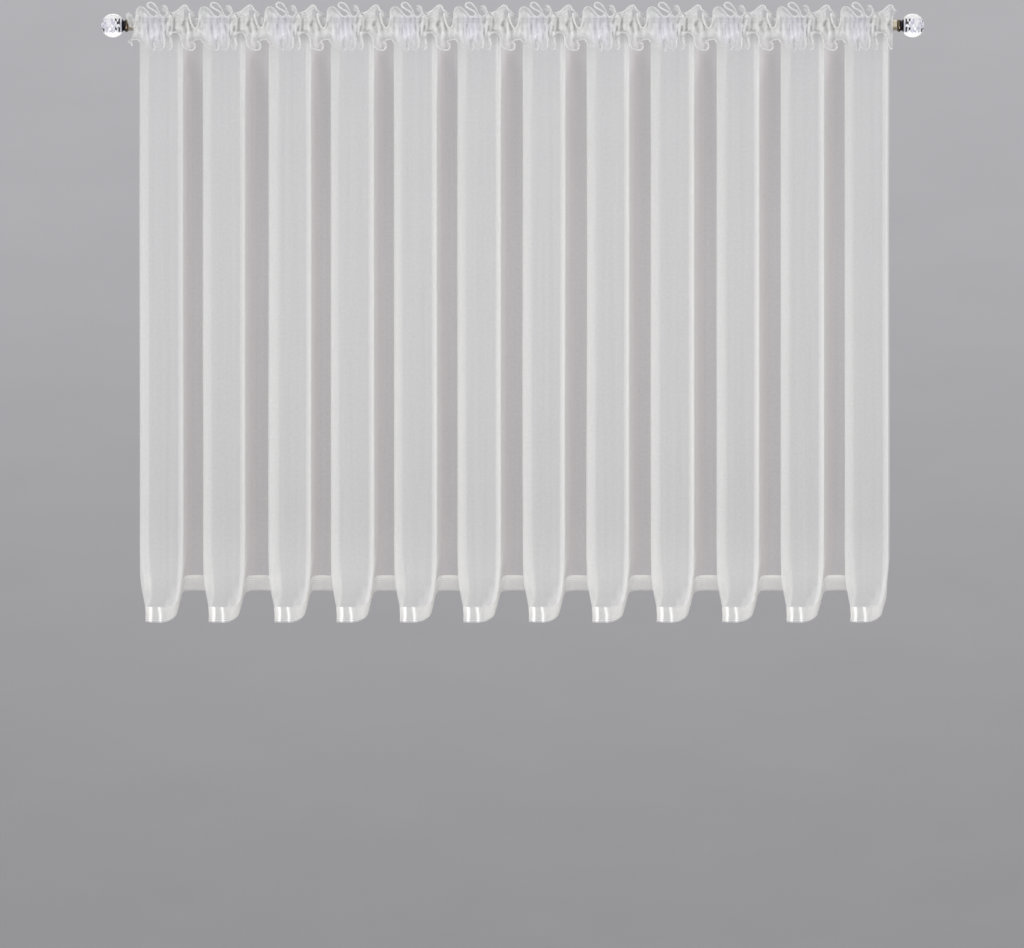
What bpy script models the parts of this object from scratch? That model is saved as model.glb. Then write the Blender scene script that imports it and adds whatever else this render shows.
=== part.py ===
"""Sheer curtain gathered on a rod. Metres, +Z up, -Y toward the room.
The origin is on the rod's axis, halfway along the rod. The curtain hangs down from there."""

import math

import bmesh
import bpy
from mathutils import Vector

MM = 0.001

# Twelve front folds, left to right. Columns: left_edge, face_width, mm
FOLDS = (
    (-912.5, 105),
    (-758.0, 103),
    (-596.5, 103),
    (-444.5, 105),
    (-290.0, 105),
    (-133.5, 105),
    (26.0, 103),
    (182.5, 103),
    (339.5, 105),
    (501.0, 103),
    (658.0, 105),
    (814.5, 105),
)
USUAL_PITCH = 157
USUAL_FACE = 104.5

# Panel sizes, mm. Each fold leans so that its front overhangs the valley on its left
PANEL_TOP = -16.3
FRONT_HEM_FOOT = -1531
BACK_HEM_FOOT = -1501
HEM_DEEP = 41
FOLD_HALF_DEPTH = 70
TOP_HALF_DEPTH = 6.5
DEPTH_GROWS_OVER = 260
CLOTH_THICK = 1.2
HEM_THICK = 2.2

# Plan of one fold, from the left edge of a front face to that of the next.
# Columns: face, gap, depth, foot_shift, foot_depth
# face: share of the front face's width. gap: share of the gap to the next fold.
# depth: -1 is the front, 1 the back. foot_shift: mm to the right at the hem's foot,
# where the front face draws in. foot_depth: depth at the hem's foot
PLAN = (
    (0.000, 0.00, -0.90, 14.0, -0.90),
    (0.040, 0.00, -1.00, 13.5, -1.00),
    (0.340, 0.00, -1.04, 1.0, -1.03),
    (0.660, 0.00, -1.04, -14.0, -1.01),
    (0.880, 0.00, -0.99, -19.0, -0.87),
    (0.945, 0.00, -0.74, -12.0, -0.60),
    (0.985, 0.00, 0.10, -9.5, -0.10),
    (1.000, 0.06, 0.62, -7.5, 0.53),
    (1.000, 0.22, 0.94, -9.0, 0.93),
    (1.000, 0.50, 1.04, -5.0, 1.04),
    (1.000, 0.98, 1.02, 0.0, 1.02),
    (1.000, 1.41, 0.88, 6.0, 0.88),
)
# The cloth ends part of the way back along the last fold's right wall
LAST_FOLD_GAP = 0.10
# The cloth's left side turns back behind the first fold: its last points of the plan
RETURN_POINTS = 2
START_FOOT_SHIFT = 13
SIDE_HEM_POINTS = 2

# Rows of the panel from the top to the hem. Columns: share of the drop above the hem,
# and how much of the drawing-in at the foot the row has
PANEL_ROWS = (
    (0.0, 0.0),
    (0.045, 0.0),
    (0.10, 0.0),
    (0.165, 0.0),
    (0.50, 0.0),
    (0.958, 0.08),
)
HEM_TOP_DRAWN_IN = 0.8

# Rod, mm
ROD_DIAMETER = 25
ROD_HALF_LENGTH = 941
ROD_SIDES = 20

# Heading sizes, mm
POCKET_INNER = 14.4
POCKET_OUTER = 16.0
HEADING_THICK = 1.8
FOOT_FRILL_ANGLE = 148
POCKET_LEFT_END = -931
POCKET_RIGHT_END = 936
LEAST_STEP = 3.0

# One repeat of the gathers along the heading, measured from a fold's left edge, mm.
# top: edge of the standing frill. swell: how far the pocket puffs off the rod.
# foot: edge of the hanging frill. out: toward the room is negative
GATHER_COLUMNS = (
    "top_along",
    "top_out",
    "top_height",
    "pocket_along",
    "swell",
    "foot_along",
    "foot_out",
    "foot_height",
)
GATHERS = (
    (-9, -14, 25, -8, 2.4, 0, -36, -33),
    (-9, -2, 38, -3, 1.2, 8, -43, -40),
    (-1, 11, 44, 3, 0.4, 17, -47, -46),
    (12, 5, 40, 10, 1.6, 27, -48, -49),
    (27, -16, 31, 20, 2.6, 35, -44, -42),
    (43, -13, 35, 31, 2.0, 33, -34, -29),
    (18, 10, 49, 37, 1.2, 41, -42, -38),
    (24, 17, 54, 42, 0.4, 47, -47, -46),
    (38, 12, 47, 47, 1.4, 57, -46, -44),
    (47, -12, 33, 55, 2.8, 60, -37, -27),
    (63, -15, 32, 63, 0.4, 63, -31, -19),
    (68, 0, 41, 69, 2.6, 67, -43, -42),
    (59, 12, 47, 74, 3.0, 75, -46, -46),
    (53, 17, 38, 79, 2.4, 80, -42, -38),
    (70, 16, 26, 86, 0.4, 75, -33, -17),
    (92, -4, 40, 97, 3.2, 87, -28, -8),
    (110, 9, 50, 109, 0.6, 101, -34, -17),
    (120, 3, 41, 119, 3.2, 108, -44, -41),
    (138, 5, 29, 131, 0.6, 128, -49, -49),
    (135, -22, 16, 140, 2.8, 134, -38, -30),
)
LEFT_END = (-31, -16, 28, -17, 2.0, -27, -38, -42)
RIGHT_END = (121, 3, 40, 122, 2.0, 117, -48, -46)
RIGHT_ROWS_CUT = 3

# Rod ends, mm
COLLAR_LENGTH = 17
COLLAR_DIAMETER = 32
COLLAR_WAIST = 26
BALL_DIAMETER = 59
BALL_SEATED = 8.5
BALL_SIDES = 10
SEAT_GAP = 0.3
# Columns: along, radius
COLLAR_PROFILE = (
    (0.0, COLLAR_WAIST / 2),
    (2.5, COLLAR_DIAMETER / 2 - 0.6),
    (5.0, COLLAR_DIAMETER / 2),
    (7.5, COLLAR_DIAMETER / 2 - 0.6),
    (9.5, COLLAR_WAIST / 2),
    (12.0, COLLAR_WAIST / 2),
    (14.5, COLLAR_DIAMETER / 2 - 0.4),
    (COLLAR_LENGTH, COLLAR_DIAMETER / 2 - 1.2),
)

MATERIALS = {
    "voile": ((0.90, 0.90, 0.92, 1), 0.0, 0.8),
    "heading_cloth": ((0.86, 0.85, 0.90, 1), 0.0, 0.75),
    "rod_metal": ((0.80, 0.72, 0.55, 1), 1.0, 0.35),
    "collar_metal": ((0.16, 0.15, 0.16, 1), 1.0, 0.3),
    "crystal": ((0.92, 0.94, 0.97, 1), 0.0, 0.05),
}


def smooth(t):
    t = min(max(t, 0.0), 1.0)
    return t * t * (3 - 2 * t)


def make_material(name):
    colour, metallic, roughness = MATERIALS[name]
    material = bpy.data.materials.new(name)
    material.use_nodes = True
    shader = next(
        node for node in material.node_tree.nodes if node.type == "BSDF_PRINCIPLED"
    )
    shader.inputs["Base Color"].default_value = colour
    shader.inputs["Metallic"].default_value = metallic
    shader.inputs["Roughness"].default_value = roughness
    material.diffuse_color = colour
    return material


def make_object(name, points, faces, material, round_shape):
    mesh = bpy.data.meshes.new(name)
    mesh.from_pydata([tuple(c * MM for c in p) for p in points], [], faces)
    grid = bmesh.new()
    grid.from_mesh(mesh)
    bmesh.ops.recalc_face_normals(grid, faces=grid.faces)
    grid.to_mesh(mesh)
    grid.free()
    for polygon in mesh.polygons:
        polygon.use_smooth = round_shape
    thing = bpy.data.objects.new(name, mesh)
    bpy.context.scene.collection.objects.link(thing)
    mesh.materials.append(make_material(material))
    return thing


def fold_table():
    """Left edge and face width of each fold, with the next fold's left edge."""
    rows = []
    for index, (left, width) in enumerate(FOLDS):
        if index + 1 < len(FOLDS):
            following = FOLDS[index + 1][0]
        else:
            following = left + USUAL_PITCH
        rows.append((left, width, following))
    return rows


def panel_plan():
    """Points of the cloth's middle line, seen from above, left to right.
    Each is (along, depth share, along at the foot, depth share at the foot)."""
    line = []
    table = fold_table()
    left, width, following = table[0]
    before = (left - USUAL_PITCH, USUAL_FACE, left)
    for row in PLAN[-RETURN_POINTS:]:
        line.append(plan_point(row, before))
    along, depth, foot_along, foot_depth = line[0]
    line[0] = (along, depth, foot_along + START_FOOT_SHIFT, foot_depth)
    for index, fold in enumerate(table):
        last = index == len(table) - 1
        for row in PLAN:
            if last and row[1] > LAST_FOLD_GAP:
                break
            line.append(plan_point(row, fold))
    return line


def plan_point(row, fold):
    face, gap, depth, foot_shift, foot_depth = row
    left, width, following = fold
    along = left + face * width + gap * (following - left - width)
    return along, depth, along + foot_shift, foot_depth


def drop_height(share, depth):
    """Height of a panel row. Below the top the front folds reach lower than the back ones."""
    backness = (min(max(depth, -1), 1) + 1) / 2
    foot = FRONT_HEM_FOOT + (BACK_HEM_FOOT - FRONT_HEM_FOOT) * backness
    hem_top = foot + HEM_DEEP
    return PANEL_TOP + (hem_top - PANEL_TOP) * share, hem_top, foot


def half_depth_at(height):
    grown = smooth((PANEL_TOP - height) / DEPTH_GROWS_OVER)
    return TOP_HALF_DEPTH + (FOLD_HALF_DEPTH - TOP_HALF_DEPTH) * grown


def panel_rows():
    """Each row is (points on the middle surface, thickness along the row)."""
    line = panel_plan()
    levels = [("drop", share, drawn) for share, drawn in PANEL_ROWS]
    levels += [
        ("hem_top_above", 0, HEM_TOP_DRAWN_IN),
        ("hem_top_below", 0, HEM_TOP_DRAWN_IN),
        ("hem_foot", 0, 1.0),
    ]
    rows = []
    for kind, share, drawn in levels:
        points = []
        for along, depth, foot_along, foot_depth in line:
            across = along + (foot_along - along) * drawn
            place = depth + (foot_depth - depth) * drawn
            height, hem_top, foot = drop_height(share, place)
            if kind == "hem_top_above":
                height = hem_top + 1.5
            elif kind == "hem_top_below":
                height = hem_top - 1.5
            elif kind == "hem_foot":
                height = foot
            points.append((across, place * half_depth_at(height), height))
        thick = HEM_THICK if kind in ("hem_top_below", "hem_foot") else CLOTH_THICK
        rows.append((points, thick))
    return rows


def plan_normals(points):
    """Unit normals in plan for a row of points, facing the back where the row runs left to right."""
    normals = []
    for index in range(len(points)):
        before = points[max(index - 1, 0)]
        after = points[min(index + 1, len(points) - 1)]
        run = Vector((after[0] - before[0], after[1] - before[1]))
        run.normalize()
        normals.append((-run.y, run.x))
    return normals


def build_panel():
    rows = panel_rows()
    count = len(rows[0][0])
    vertices = []
    for side in (-1, 1):
        for points, thick in rows:
            normals = plan_normals(points)
            for column, ((x, y, z), (nx, ny)) in enumerate(zip(points, normals)):
                at_side = column < SIDE_HEM_POINTS or column >= count - SIDE_HEM_POINTS
                half = side * max(thick, HEM_THICK if at_side else 0) / 2
                vertices.append((x + nx * half, y + ny * half, z))
    layer = len(rows) * count

    def at(side, row, column):
        return side * layer + row * count + column

    faces = []
    last = len(rows) - 1
    for row in range(last):
        for column in range(count - 1):
            faces.append(
                (
                    at(0, row, column),
                    at(0, row, column + 1),
                    at(0, row + 1, column + 1),
                    at(0, row + 1, column),
                )
            )
            faces.append(
                (
                    at(1, row, column),
                    at(1, row + 1, column),
                    at(1, row + 1, column + 1),
                    at(1, row, column + 1),
                )
            )
    for column in range(count - 1):
        faces.append(
            (at(0, 0, column), at(1, 0, column), at(1, 0, column + 1), at(0, 0, column + 1))
        )
        faces.append(
            (
                at(0, last, column),
                at(0, last, column + 1),
                at(1, last, column + 1),
                at(1, last, column),
            )
        )
    for row in range(last):
        faces.append((at(0, row, 0), at(0, row + 1, 0), at(1, row + 1, 0), at(1, row, 0)))
        faces.append(
            (
                at(0, row, count - 1),
                at(1, row, count - 1),
                at(1, row + 1, count - 1),
                at(0, row + 1, count - 1),
            )
        )
    return make_object("panel", vertices, faces, "voile", True)


def gather_stations():
    """The heading's stations, left to right, each as the named gather columns with real places."""
    stations = [shifted(LEFT_END, FOLDS[0][0], 1.0)]
    for left, width, following in fold_table():
        stretch = (following - left) / USUAL_PITCH
        for row in GATHERS:
            stations.append(shifted(row, left, stretch))
    # The last repeat is cut short by the side hem
    stations[-RIGHT_ROWS_CUT:] = [shifted(RIGHT_END, FOLDS[-1][0], 1.0)]
    return stations


def shifted(row, left, stretch):
    cells = dict(zip(GATHER_COLUMNS, row))
    for name in ("top_along", "pocket_along", "foot_along"):
        cells[name] = left + cells[name] * stretch
    return cells


def grid_normal(grid, station, level):
    before = Vector(grid[max(station - 1, 0)][level])
    after = Vector(grid[min(station + 1, len(grid) - 1)][level])
    below = Vector(grid[station][max(level - 1, 0)])
    above = Vector(grid[station][min(level + 1, len(grid[station]) - 1)])
    normal = (after - before).cross(above - below)
    normal.normalize()
    return normal


def on_pocket(angle, radius):
    """Out and height of a point round the rod. Angle 0 is the top, 90 the room side."""
    turn = math.radians(angle)
    return -radius * math.sin(turn), radius * math.cos(turn)


def build_heading():
    stations = gather_stations()
    count = len(stations)
    step = (FOOT_FRILL_ANGLE - 8) / 3
    # Angles round the pocket: the room side from the top frill to the foot frill, then the back
    front_angles = [4 + step * i for i in range(4)]
    front_angles[-1] = FOOT_FRILL_ANGLE - 5
    back_step = (360 - 4 - FOOT_FRILL_ANGLE - 5) / 4
    back_angles = [FOOT_FRILL_ANGLE + 5 + back_step * i for i in range(5)]
    back_angles[-1] = 356
    top_grid, foot_grid, places = [], [], []
    for index, cells in enumerate(stations):
        low = POCKET_LEFT_END + LEAST_STEP * index
        high = POCKET_RIGHT_END - LEAST_STEP * (count - 1 - index)
        along = min(max(cells["pocket_along"], low), high)
        places.append((along, cells["swell"]))
        top = (cells["top_along"], cells["top_out"], cells["top_height"])
        foot = (cells["foot_along"], cells["foot_out"], cells["foot_height"])
        base_out, base_height = on_pocket(0, POCKET_OUTER + cells["swell"] * 0.3)
        top_base = (along, base_out, base_height)
        top_grid.append((top_base, top))
        base_out, base_height = on_pocket(
            FOOT_FRILL_ANGLE, POCKET_OUTER + cells["swell"]
        )
        foot_base = (along, base_out, base_height)
        foot_middle = (
            along + (foot[0] - along) * 0.55,
            base_out + (foot[1] - base_out) * 0.62,
            base_height + (foot[2] - base_height) * 0.45,
        )
        foot_grid.append((foot_base, foot_middle, foot))
    vertices, rings = [], []

    def add(point):
        vertices.append(point)
        return len(vertices) - 1

    for index, (along, swell) in enumerate(places):
        ring = {"front": [], "back": [], "hole_front": [], "hole_back": []}
        for name, angles in (("front", front_angles), ("back", back_angles)):
            for angle in angles:
                facing = max(0.0, math.sin(math.radians(angle)))
                puff = swell * (0.3 + 0.7 * facing)
                out, height = on_pocket(angle, POCKET_OUTER + puff)
                ring[name].append(add((along, out, height)))
                out, height = on_pocket(angle, POCKET_INNER + puff)
                ring["hole_" + name].append(add((along, out, height)))
        for name, grid in (("top", top_grid), ("foot", foot_grid)):
            for level in range(1, len(grid[index])):
                normal = grid_normal(grid, index, level)
                point = Vector(grid[index][level])
                half = HEADING_THICK / 2
                for side in (-1, 1):
                    ring[(name, level, side)] = add(tuple(point + normal * half * side))
        rings.append(ring)

    # Which side of a frill faces the room is read from the first station
    def room_side(name):
        low = vertices[rings[count // 2][(name, 1, -1)]]
        high = vertices[rings[count // 2][(name, 1, 1)]]
        return -1 if low[1] < high[1] else 1

    top_room, foot_room = room_side("top"), room_side("foot")

    def outline(ring):
        """The outer edge of the section, once round."""
        loop = [ring[("top", 1, top_room)]]
        loop += ring["front"]
        loop += [ring[("foot", 1, foot_room)], ring[("foot", 2, foot_room)]]
        loop += [ring[("foot", 2, -foot_room)], ring[("foot", 1, -foot_room)]]
        loop += ring["back"]
        loop += [ring[("top", 1, -top_room)]]
        return loop

    def hole(ring):
        return ring["hole_front"] + ring["hole_back"]

    faces = []
    for one, two in zip(rings, rings[1:]):
        for loop_of in (outline, hole):
            first, second = loop_of(one), loop_of(two)
            size = len(first)
            for index in range(size):
                following = (index + 1) % size
                faces.append(
                    (first[index], first[following], second[following], second[index])
                )
    for ring in (rings[0], rings[-1]):
        for name in ("front", "back"):
            outer, inner = ring[name], ring["hole_" + name]
            for index in range(len(outer) - 1):
                faces.append(
                    (outer[index], outer[index + 1], inner[index + 1], inner[index])
                )
        faces.append(
            (
                ring["front"][-1],
                ring["back"][0],
                ring["hole_back"][0],
                ring["hole_front"][-1],
            )
        )
        faces.append(
            (
                ring["back"][-1],
                ring["front"][0],
                ring["hole_front"][0],
                ring["hole_back"][-1],
            )
        )
        faces.append(
            (
                ring["front"][-1],
                ring[("foot", 1, foot_room)],
                ring[("foot", 1, -foot_room)],
                ring["back"][0],
            )
        )
        faces.append(
            (
                ring[("foot", 1, foot_room)],
                ring[("foot", 2, foot_room)],
                ring[("foot", 2, -foot_room)],
                ring[("foot", 1, -foot_room)],
            )
        )
        faces.append(
            (
                ring["back"][-1],
                ring[("top", 1, -top_room)],
                ring[("top", 1, top_room)],
                ring["front"][0],
            )
        )
    return make_object("heading", vertices, faces, "heading_cloth", True)


def turned(name, profile, sides, start, direction, material, round_shape):
    """A closed body turned about the rod's axis from (along, radius) rows."""
    vertices, faces = [], []
    for along, radius in profile:
        for side in range(sides):
            turn = 2 * math.pi * (side + 0.5) / sides
            x = start + direction * along
            vertices.append((x, radius * math.sin(turn), radius * math.cos(turn)))
    for row in range(len(profile) - 1):
        for side in range(sides):
            following = (side + 1) % sides
            faces.append(
                (
                    row * sides + side,
                    row * sides + following,
                    (row + 1) * sides + following,
                    (row + 1) * sides + side,
                )
            )
    faces.append(tuple(range(sides)))
    faces.append(tuple((len(profile) - 1) * sides + side for side in range(sides)))
    return make_object(name, vertices, faces, material, round_shape)


def build_rod():
    profile = ((0, ROD_DIAMETER / 2), (2 * ROD_HALF_LENGTH, ROD_DIAMETER / 2))
    return turned("rod", profile, ROD_SIDES, -ROD_HALF_LENGTH, 1, "rod_metal", True)


def ball_profile():
    """Rings of facets, from the flat seat to the small flat at the far end."""
    radius = BALL_DIAMETER / 2
    rows = []
    seat = math.acos(1 - BALL_SEATED / radius)
    for share in (0.0, 0.18, 0.36, 0.52, 0.68, 0.84, 0.94):
        turn = seat + (math.pi - seat) * share
        rows.append((radius - BALL_SEATED - radius * math.cos(turn), radius * math.sin(turn)))
    return rows


def build_rod_end(side_name, direction):
    start = direction * (ROD_HALF_LENGTH + SEAT_GAP)
    turned(
        "collar_" + side_name, COLLAR_PROFILE, 20, start, direction, "collar_metal", True
    )
    start += direction * (COLLAR_LENGTH + SEAT_GAP)
    turned(
        "finial_" + side_name,
        ball_profile(),
        BALL_SIDES,
        start,
        direction,
        "crystal",
        False,
    )


def clear_scene():
    for thing in list(bpy.data.objects):
        bpy.data.objects.remove(thing, do_unlink=True)


clear_scene()
build_panel()
build_heading()
build_rod()
build_rod_end("left", -1)
build_rod_end("right", 1)
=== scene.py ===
"""Looks of the sheer curtain on its rod. Metres, +Z up, -Y toward the room.
The origin is on the rod's axis, halfway along the rod."""

import math

import bpy
import numpy as np
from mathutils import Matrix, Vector, noise


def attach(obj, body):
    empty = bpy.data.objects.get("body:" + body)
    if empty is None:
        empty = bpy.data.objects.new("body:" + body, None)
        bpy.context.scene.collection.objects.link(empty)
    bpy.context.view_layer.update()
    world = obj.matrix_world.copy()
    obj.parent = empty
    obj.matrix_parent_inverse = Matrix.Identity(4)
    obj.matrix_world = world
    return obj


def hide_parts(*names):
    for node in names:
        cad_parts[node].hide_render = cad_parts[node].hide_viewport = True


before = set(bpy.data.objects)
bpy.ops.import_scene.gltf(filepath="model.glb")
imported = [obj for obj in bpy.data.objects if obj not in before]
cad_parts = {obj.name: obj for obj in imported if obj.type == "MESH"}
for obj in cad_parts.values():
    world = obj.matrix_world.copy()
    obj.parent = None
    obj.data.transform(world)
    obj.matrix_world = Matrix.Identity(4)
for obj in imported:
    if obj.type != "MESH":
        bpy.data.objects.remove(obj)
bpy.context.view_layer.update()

MM = 0.001

# The photograph's view: level with the rod's line, looking down a little
VIEW_DOWN = math.radians(20)
MM_PER_PIXEL = 2.45
PICTURE_WIDE = 1024
PICTURE_HIGH = 948
ROD_PIXEL = (512.75, 25.5)
CAMERA_AWAY = 6.0

# Twelve front folds, left to right: left edge and front face width, mm
FOLDS = (
    (-912.5, 105),
    (-758.0, 103),
    (-596.5, 103),
    (-444.5, 105),
    (-290.0, 105),
    (-133.5, 105),
    (26.0, 103),
    (182.5, 103),
    (339.5, 105),
    (501.0, 103),
    (658.0, 105),
    (814.5, 105),
)
USUAL_PITCH = 157
USUAL_FACE = 104.5

# Panel, mm
PANEL_TOP = -16.6
FRONT_HEM_FOOT = -1530.5
BACK_HEM_FOOT = -1500.5
HEM_DEEP = 41
HEM_LAYER_GAP = 1.4
FOLD_HALF_DEPTH = 70
TOP_HALF_DEPTH = 6.2
DEPTH_GROWS_OVER = 260
# The cloth ends this share into the last gap, and starts with this many of the plan's last rows
LAST_FOLD_GAP = 0.10
RETURN_POINTS = 2
PLAN_STEPS = 6
PANEL_LEVELS = 44
HEM_LEVELS = 8

# Plan of one fold. Columns: face share, gap share, depth (-1 front, 1 back),
# and at the hem's foot the shift to the right, mm, and the depth
PLAN = (
    (0.000, 0.00, -0.90, 14.0, -0.90),
    (0.040, 0.00, -1.00, 13.5, -1.00),
    (0.340, 0.00, -1.04, 1.0, -1.03),
    (0.660, 0.00, -1.04, -14.0, -1.01),
    (0.880, 0.00, -0.99, -19.0, -0.87),
    (0.945, 0.00, -0.74, -12.0, -0.60),
    (0.985, 0.00, 0.10, -9.5, -0.10),
    (1.000, 0.06, 0.62, -7.5, 0.53),
    (1.000, 0.22, 0.94, -9.0, 0.93),
    (1.000, 0.50, 1.04, -5.0, 1.04),
    (1.000, 0.98, 1.02, 0.0, 1.02),
    (1.000, 1.41, 0.88, 6.0, 0.88),
)
# Share of the drop above the hem, and how much of the foot's drawing-in is there
HEM_TOP_DRAWN_IN = 0.8
DRAWING_IN = ((0.0, 0.0), (0.90, 0.0), (0.958, 0.08), (0.985, 0.5), (1.0, HEM_TOP_DRAWN_IN))
# The rows of the panel crowd a little toward the hem
PANEL_ROW_CROWDING = 0.85
# Slow wander of each fold, mm to the side and out, growing over a drop in mm
FOLD_WANDER = 1.6
FOLD_PUFF = 1.8
WANDER_GROWS_OVER = 500
# Each front sits a little to the right just above its hem: how far, below what height above
# the foot, over what height that comes in, and over what height it goes again, mm
FRONT_SETS_RIGHT = (1.9, 130, 50, 22)
# The cloth's first edge, behind the first fold, sits further right at the foot, mm
START_FOOT_SHIFT = 13

# Look of the cloth across one fold. Columns: place in the plan (face share plus gap share),
# cover (share of the view that threads fill), painted light (a painted highlight on each
# front's right band, painted shade in the valleys), painted valley shade (a faint rosy painted
# shade in the valleys)
LOOK = (
    (0.00, 0.56, 1.00, 0.0),
    (0.04, 0.48, 1.00, 0.0),
    (0.34, 0.45, 0.99, 0.0),
    (0.66, 0.44, 0.99, 0.0),
    (0.85, 0.46, 1.00, 0.0),
    (0.88, 0.60, 1.05, 0.0),
    (0.92, 0.80, 1.10, 0.0),
    (0.96, 0.98, 1.16, 0.0),
    (0.99, 0.98, 1.16, 0.0),
    (1.02, 0.66, 1.02, 0.2),
    (1.08, 0.66, 1.02, 0.5),
    (1.16, 0.64, 1.00, 0.8),
    (1.28, 0.52, 0.96, 1.0),
    (1.42, 0.46, 0.92, 0.9),
    (1.60, 0.45, 0.92, 0.7),
    (1.98, 0.46, 0.93, 0.4),
    (2.36, 0.48, 0.94, 0.2),
    (2.42, 0.46, 1.00, 0.0),
    (2.48, 0.50, 1.00, 0.0),
    (2.50, 0.58, 1.00, 0.0),
)
# How many places a fold has, and where its valley's middle is
FOLD_PLACES = 2.50
VALLEY_PLACE = 1.7
# The valleys are a little more shaded under the heading: how much, half how many places wide,
# and over what drop, mm
VALLEY_TOP_SHADE = 0.21
VALLEY_TOP_HALF_WIDTH = 0.72
VALLEY_TOP_DROP = 700
# Turned-up hem. Columns: place in the plan, cover of each layer
HEM_LOOK = (
    (0.00, 0.53),
    (0.10, 0.49),
    (0.22, 0.28),
    (0.42, 0.28),
    (0.60, 0.34),
    (0.72, 0.36),
    (0.84, 0.52),
    (0.97, 0.88),
    (1.10, 0.88),
    (1.25, 0.54),
    (2.40, 0.50),
    (2.50, 0.60),
)
# Cover added along the hem's top at the back, and half how many places wide
HEM_BACK_COVER = 0.50
HEM_BACK_HALF_WIDTH = 0.80
# The two painted satin highlights down the hem's front. Columns: face share at the foot,
# lean to the left at the hem's top, half width, strength
HEM_SATIN_HIGHLIGHTS = ((0.152, 0.0, 0.08, 0.9), (0.562, 0.11, 0.09, 0.86))
# Stitching lines: their spacing, and how far they reach from the foot in front
# and from the hem's top at the back, each with the height they fade over, mm
STITCH_PITCH = HEM_DEEP / 8
STITCH_FRONT = (13, 4)
STITCH_BACK = (22, 10)
# Over the hem the side lights of a fold change: how high above the foot each starts, mm,
# how far inward it swells in face shares, and how much cover it adds
LEFT_SWELL = (160, 0.0, -0.05)
RIGHT_SWELL = (150, 0.30, 0.20)
# Where the left light ends and where the right one starts and ends. Columns: place, softness
LEFT_LIGHT_ENDS = (0.19, 0.06)
RIGHT_LIGHT_STARTS = (0.90, 0.12)
RIGHT_LIGHT_ENDS = (1.14, 0.10)
# The cloth over the hem shows fewer threads: how many fewer, below what height above the foot,
# and over what height that comes in, mm
THINNER_OVER_HEM = (0.06, 140, 90)

# Heading, mm. The angles run round the rod from its top toward the room, in degrees
POCKET_RADIUS = 15.4
POCKET_CLEAR = 0.3
FOOT_FRILL_ANGLE = 104
NECK_ANGLE = 38
STITCH_HEIGHT = 21.0
LOOSE_BULGE = 5.0
PLEAT_WANDER = 2.0
FRILL_LAYER_GAP = 1.0
GATHER_COLUMNS_PER_FOLD = 130
FOOT_ROWS = 16
POCKET_ROWS = 9
NECK_ROWS = (0.25, 0.45, 0.65, 0.85)
TOP_ROWS = 8
BACK_ROWS = 5
# Cover of the hanging frill: at its edge, what a plain edge adds, and at the pocket
FOOT_COVER = (0.22, 0.32, 0.94)
POCKET_COVER = 0.96
STITCH_COVER = 0.9
BACK_COVER = 0.70
# Where in a repeat the gathers are tight and where loose. Columns: share, half width
TIGHT_GATHERS = (0.22, 0.30)
LOOSE_GATHERS = (0.72, 0.26)
ROLLED_EDGE_RADIUS = 2.35
ROLLED_EDGE_SIDES = 6
# About square to the view
ROLLED_EDGE_UP = (0.0, 0.35, 0.94)

# One repeat of the standing frill's edge. Columns: share of the gathered cloth,
# along from the fold's left edge, out (toward the room when negative) and height, mm
TOP_EDGE = (
    (0.00, -10.0, -12, 30.0),
    (0.03, -9.3, -4, 38.0),
    (0.06, -5.6, 6, 42.9),
    (0.09, 2.5, 13, 43.5),
    (0.12, 11.3, 7, 40.5),
    (0.15, 19.6, -6, 35.6),
    (0.17, 27.0, -15, 30.5),
    (0.20, 36.8, -20, 30.5),
    (0.22, 43.6, -13, 34.7),
    (0.24, 37.5, -4, 39.0),
    (0.26, 25.7, 4, 42.6),
    (0.28, 17.6, 9, 48.6),
    (0.30, 20.3, 15, 53.4),
    (0.32, 29.4, 18, 52.6),
    (0.34, 37.5, 12, 47.0),
    (0.36, 44.8, 0, 38.9),
    (0.38, 48.8, -14, 32.5),
    (0.41, 55.1, -20, 30.2),
    (0.44, 63.7, -14, 31.9),
    (0.46, 67.6, -3, 39.4),
    (0.48, 64.7, 7, 45.1),
    (0.50, 58.3, 13, 47.1),
    (0.52, 52.0, 16, 39.8),
    (0.535, 56.0, 19, 28.3),
    (0.55, 64.0, 18, 23.7),
    (0.57, 74.0, 12, 28.0),
    (0.60, 81.9, 3, 32.0),
    (0.63, 91.9, -6, 40.3),
    (0.66, 100.5, 2, 45.4),
    (0.69, 109.0, 9, 49.6),
    (0.72, 115.6, 8, 47.9),
    (0.75, 119.8, 2, 41.0),
    (0.775, 125.0, 8, 34.3),
    (0.80, 132.3, 9, 28.6),
    (0.82, 138.0, 6, 23.5),
    (0.845, 129.9, 1, 28.6),
    (0.865, 122.5, -6, 34.8),
    (0.885, 122.6, -13, 26.1),
    (0.905, 125.0, -19, 17.9),
    (0.925, 128.9, -24, 9.5),
    (0.945, 136.0, -27, 3.3),
    (0.96, 142.1, -27, 8.0),
    (0.975, 145.3, -24, 18.0),
    (0.99, 146.8, -17, 25.5),
)

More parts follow.
